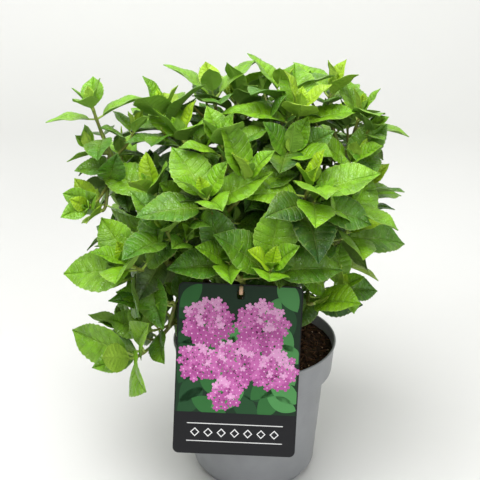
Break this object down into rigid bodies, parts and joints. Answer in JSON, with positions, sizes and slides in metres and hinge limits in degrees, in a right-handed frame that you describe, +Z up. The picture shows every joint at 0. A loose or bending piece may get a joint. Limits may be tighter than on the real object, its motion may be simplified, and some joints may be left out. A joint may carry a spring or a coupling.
{
  "type": "hydrangea shrub in a nursery pot",
  "caption": "Leafy hydrangea shrub with upright woody limbs, standing in a round grey nursery pot of soil, with a printed picture card hung at its front.",
  "frame": {"origin": "centre of the pot's flat underside, where the plant stands", "axes": "+Z up along the plant, -Y towards the side on which the card hangs, +X to the right of that side"},
  "size_m": [0.433, 0.4326, 0.5443],
  "materials": {
    "pot_plastic": "matte moulded grey plastic",
    "soil": "dark fibrous potting soil",
    "bark": "thin brown bark, green on young wood",
    "leaf": "fresh green leaf, slightly glossy",
    "card": "smooth printed card"
  },
  "bodies": {
    "root": {"pot": "pot_plastic", "soil": "soil", "stock": "bark", "limb_left_tall": "bark", "limb_upper_left": "bark", "limb_top": "bark", "limb_top_right": "bark", "limb_right_top": "bark", "limb_front": "bark", "limb_back": "bark", "limb_left_front": "bark", "limb_left_low": "bark", "limb_back_left_low": "bark", "limb_back_left": "bark", "limb_front_upper": "bark", "limb_front_right": "bark", "limb_right": "bark", "limb_back_right": "bark", "limb_right_low": "bark", "limb_back_right_low": "bark", "limb_back_low": "bark", "leaves_left_tall": "leaf", "leaves_upper_left": "leaf", "leaves_top": "leaf", "leaves_top_right": "leaf", "leaves_right_top": "leaf", "leaves_front": "leaf", "leaves_back": "leaf", "leaves_left_front": "leaf", "leaves_left_low": "leaf", "leaves_back_left_low": "leaf", "leaves_back_left": "leaf", "leaves_front_upper": "leaf", "leaves_front_right": "leaf", "leaves_right": "leaf", "leaves_back_right": "leaf", "leaves_right_low": "leaf", "leaves_back_right_low": "leaf", "leaves_back_low": "leaf", "card_stub": "bark", "plant_card": "card"}
  },
  "joints": []
}
